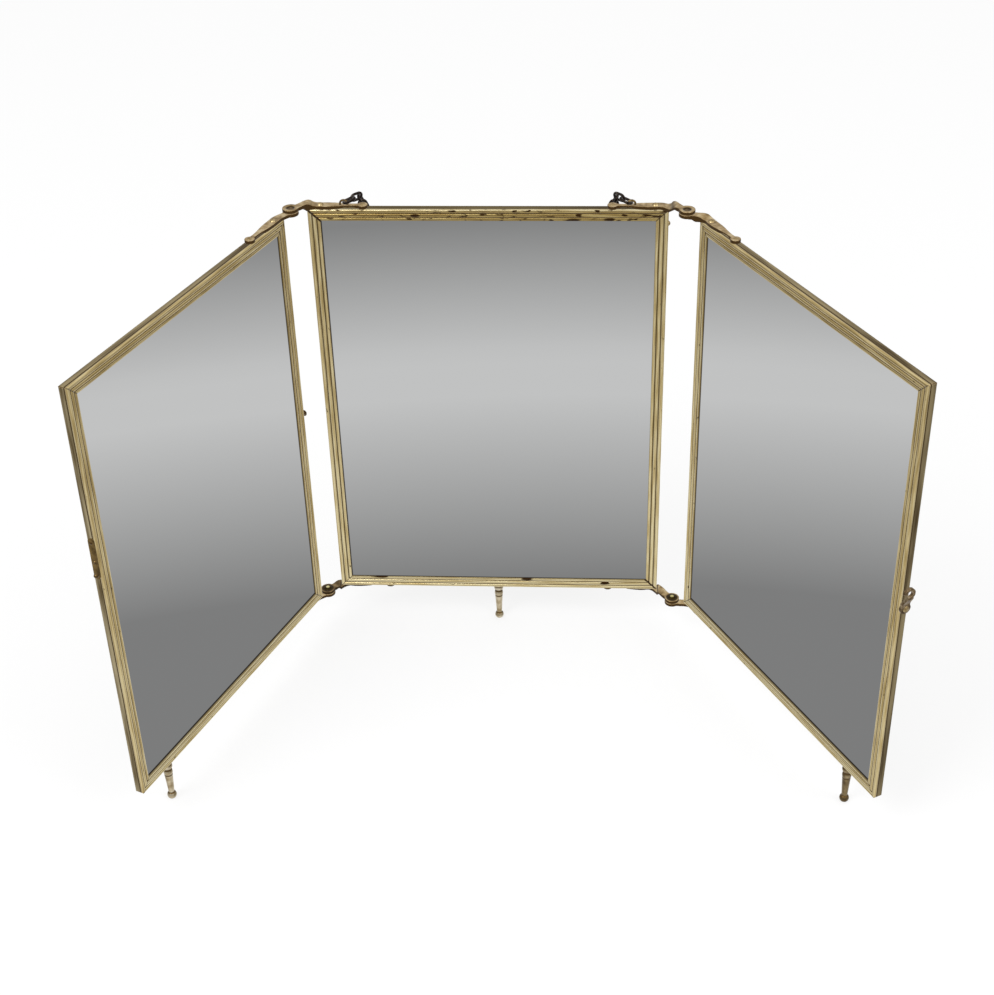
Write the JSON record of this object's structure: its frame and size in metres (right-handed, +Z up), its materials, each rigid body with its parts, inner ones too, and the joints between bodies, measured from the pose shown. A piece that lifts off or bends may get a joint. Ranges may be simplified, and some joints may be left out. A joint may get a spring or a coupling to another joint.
{
  "type": "trifold mirror",
  "caption": "Folding trifold dressing mirror: framed glasses in reeded brass, wings on cast pivot hinges, turned feet, a latch hook and a chain for hanging.",
  "frame": {"origin": "middle of the centre foot's sole, on the ground", "axes": "+X to the viewer's right along the centre panel, +Y to the back, +Z up"},
  "size_m": [0.5342, 0.2667, 0.3832],
  "materials": {
    "reeded_brass": "aged, semi-polished, darker in the grooves",
    "cast_brass": "aged casting, worn smooth",
    "turned_brass": "turned, semi-polished",
    "brass_plate": "dull sheet",
    "mirror_glass": "silvered glass",
    "backing_board": "dark paper-covered board",
    "chain_steel": "dark tarnished wire"
  },
  "bodies": {
    "centre_panel": {"centre_top_rail": "reeded_brass", "centre_bottom_rail": "reeded_brass", "centre_left_stile": "reeded_brass", "centre_right_stile": "reeded_brass", "centre_mirror_glass": "mirror_glass", "centre_backing_board": "backing_board", "centre_corner_plates": "brass_plate", "centre_foot": "turned_brass", "centre_side_screw": "turned_brass", "centre_left_top_leaf": "cast_brass", "centre_left_bottom_leaf": "cast_brass", "centre_right_top_leaf": "cast_brass", "centre_right_bottom_leaf": "cast_brass", "centre_leaf_fasteners": "turned_brass", "left_chain_hoop": "turned_brass", "right_chain_hoop": "turned_brass", "left_chain_end_links": "chain_steel", "right_chain_end_links": "chain_steel"},
    "left_wing": {"left_wing_top_rail": "reeded_brass", "left_wing_bottom_rail": "reeded_brass", "left_wing_hinge_stile": "reeded_brass", "left_wing_outer_stile": "reeded_brass", "left_wing_mirror_glass": "mirror_glass", "left_wing_backing_board": "backing_board", "left_wing_corner_plates": "brass_plate", "left_wing_foot": "turned_brass", "left_wing_top_leaf": "cast_brass", "left_wing_bottom_leaf": "cast_brass", "left_wing_leaf_fasteners": "turned_brass", "left_top_pivot_pin": "turned_brass", "left_bottom_pivot_pin": "turned_brass", "latch_stud": "turned_brass", "catch_plate": "brass_plate", "catch_plate_screws": "turned_brass", "catch_stud": "turned_brass"},
    "right_wing": {"right_wing_top_rail": "reeded_brass", "right_wing_bottom_rail": "reeded_brass", "right_wing_hinge_stile": "reeded_brass", "right_wing_outer_stile": "reeded_brass", "right_wing_mirror_glass": "mirror_glass", "right_wing_backing_board": "backing_board", "right_wing_corner_plates": "brass_plate", "right_wing_foot": "turned_brass", "right_wing_top_leaf": "cast_brass", "right_wing_bottom_leaf": "cast_brass", "right_wing_leaf_fasteners": "turned_brass", "right_top_pivot_pin": "turned_brass", "right_bottom_pivot_pin": "turned_brass", "latch_hook_screw": "turned_brass"},
    "latch_hook": {"latch_hook": "cast_brass"},
    "hanging_chain": {"hanging_chain": "chain_steel"}
  },
  "joints": [
    {"name": "left_wing_hinge", "type": "hinge", "parent": "centre_panel", "child": "left_wing", "pos_m": [-0.1398, -0.01125, 0.2], "axis": [0, 0, 1], "range_deg": [-67.1, 112.9]},
    {"name": "right_wing_hinge", "type": "hinge", "parent": "centre_panel", "child": "right_wing", "pos_m": [0.1416, -0.01725, 0.2], "axis": [0, 0, -1], "range_deg": [-60.1, 119.9]},
    {"name": "latch_hook_turn", "type": "hinge", "parent": "right_wing", "child": "latch_hook", "pos_m": [0.28048, -0.23881, 0.20398], "axis": [0.4985, -0.8669, 0], "range_deg": [-180, 20]},
    {"name": "chain_swing", "type": "hinge", "parent": "centre_panel", "child": "hanging_chain", "pos_m": [0, 0.00852, 0.37463], "axis": [1, 0, 0], "range_deg": [0, 90]}
  ]
}
